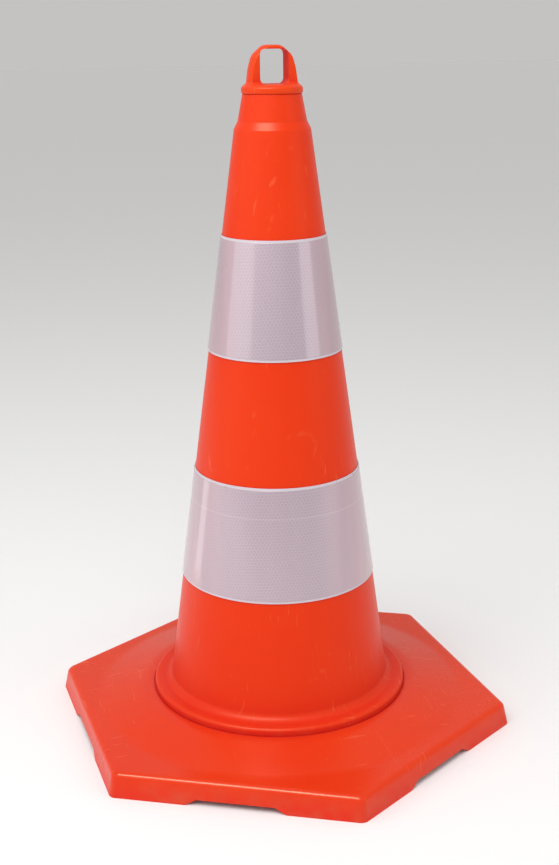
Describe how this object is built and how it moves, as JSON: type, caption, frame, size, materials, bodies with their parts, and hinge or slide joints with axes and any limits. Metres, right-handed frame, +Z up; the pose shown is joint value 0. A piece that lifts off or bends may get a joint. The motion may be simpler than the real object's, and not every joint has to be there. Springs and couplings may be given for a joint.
{
  "type": "traffic cone",
  "caption": "Road traffic cone with a hexagonal footed base, lift-off retroreflective sleeves and a carrying eye on top.",
  "frame": {"origin": "on the ground at the cone's axis, the centre of the bottom of the object's box", "axes": "+Z up along the cone's axis; Y along the hole of the carrying eye and through two corners of the hexagonal base"},
  "size_m": [0.464, 0.533, 0.75],
  "materials": {
    "orange_body": "satin moulded polyethylene",
    "orange_base": "satin moulded polyethylene",
    "orange_cap": "satin moulded polyethylene",
    "ballast_rubber": "coarse recycled rubber",
    "sleeve_white": "white film backing",
    "reflective_film": "clear-faced retroreflective cell film"
  },
  "bodies": {
    "cone": {"cone_body": "orange_body", "base_plate": "orange_base", "ballast_ring": "ballast_rubber", "eye_cap": "orange_cap"},
    "lower_sleeve": {"lower_sleeve_backing": "sleeve_white", "lower_sleeve_film": "reflective_film"},
    "upper_sleeve": {"upper_sleeve_backing": "sleeve_white", "upper_sleeve_film": "reflective_film"}
  },
  "joints": [
    {"name": "lower_sleeve_lift", "type": "slide", "parent": "cone", "child": "lower_sleeve", "axis": [0, 0, 1], "range_m": [0, 0.59]},
    {"name": "upper_sleeve_lift", "type": "slide", "parent": "cone", "child": "upper_sleeve", "axis": [0, 0, 1], "range_m": [0, 0.48]}
  ]
}
